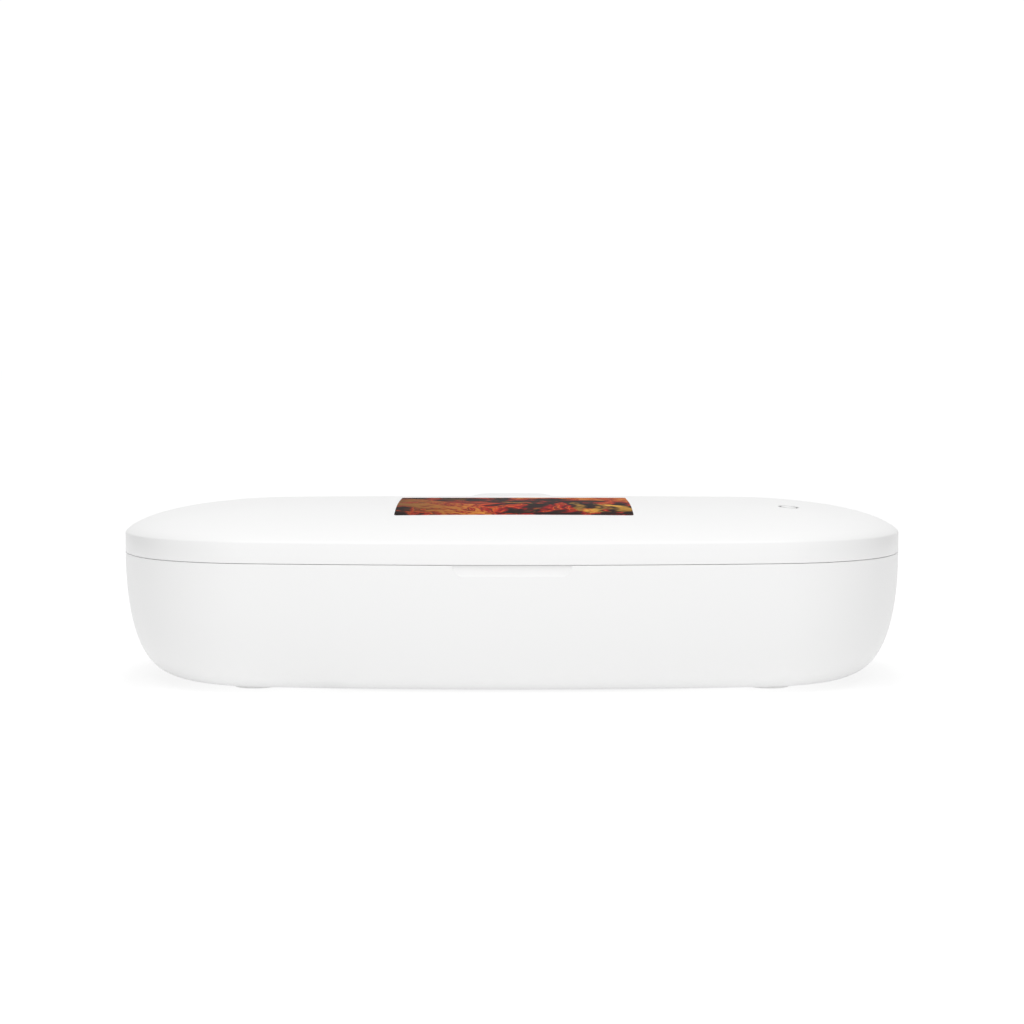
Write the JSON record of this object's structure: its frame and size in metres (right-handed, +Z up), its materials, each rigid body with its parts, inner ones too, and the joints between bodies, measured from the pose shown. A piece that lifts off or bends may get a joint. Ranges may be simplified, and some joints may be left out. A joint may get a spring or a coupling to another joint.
{
  "type": "uv sanitizer box",
  "caption": "Table-top ultraviolet sanitizer box for a phone: a bowl-shaped base with a mirrored tray, and a low domed lid on a rear hinge with a power button.",
  "frame": {"origin": "on the table under the middle of the closed box, its hinge hump included", "axes": "+X to the right along the length as seen from the front, +Y to the rear, where the hinge is, +Z up"},
  "size_m": [0.218, 0.1216, 0.0496],
  "materials": {
    "shell": "gloss",
    "mirror": "polished",
    "clear": "polished",
    "seal": "matte",
    "board": "satin",
    "steel": "satin",
    "magnet": "satin",
    "rubber": "matte",
    "copper": "satin",
    "ferrite": "matte",
    "inner": "satin",
    "black": "satin"
  },
  "bodies": {
    "base": {"base_shell": "shell", "mirror_tray": "mirror", "light_seal": "seal", "main_board": "board", "charging_inlet": "steel", "lid_sensor": "board", "base_magnet": "magnet", "hinge_pin": "steel", "phone_rail_left": "clear", "phone_rail_right": "clear", "foot_front_left": "rubber", "foot_front_right": "rubber", "foot_rear_left": "rubber", "foot_rear_right": "rubber", "tray_screw_front_left": "steel", "tray_screw_front_right": "steel", "tray_screw_rear_left": "steel", "tray_screw_rear_right": "steel", "base_lamp_board": "board", "base_window_left": "clear", "base_window_centre": "clear", "base_window_right": "clear"},
    "lid": {"lid_shell": "shell", "lid_panel": "mirror", "charger_bracket": "inner", "charger_ferrite": "ferrite", "charger_coil": "copper", "button_board": "board", "button_switch": "black", "lid_magnet": "magnet", "panel_screw_front_left": "steel", "panel_screw_front_right": "steel", "panel_screw_rear_left": "steel", "panel_screw_rear_right": "steel", "lid_lamp_board": "board", "lid_window_left": "clear", "lid_window_centre": "clear", "lid_window_right": "clear"},
    "power_button": {"power_button": "shell"}
  },
  "joints": [
    {"name": "lid_hinge", "type": "hinge", "parent": "base", "child": "lid", "pos_m": [0, 0.0556, 0.043], "axis": [-1, 0, 0], "range_deg": [0, 100]},
    {"name": "button_press", "type": "slide", "parent": "lid", "child": "power_button", "axis": [0, 0, -1], "range_m": [0, 0.00035], "stiffness_N_per_m": 600}
  ]
}
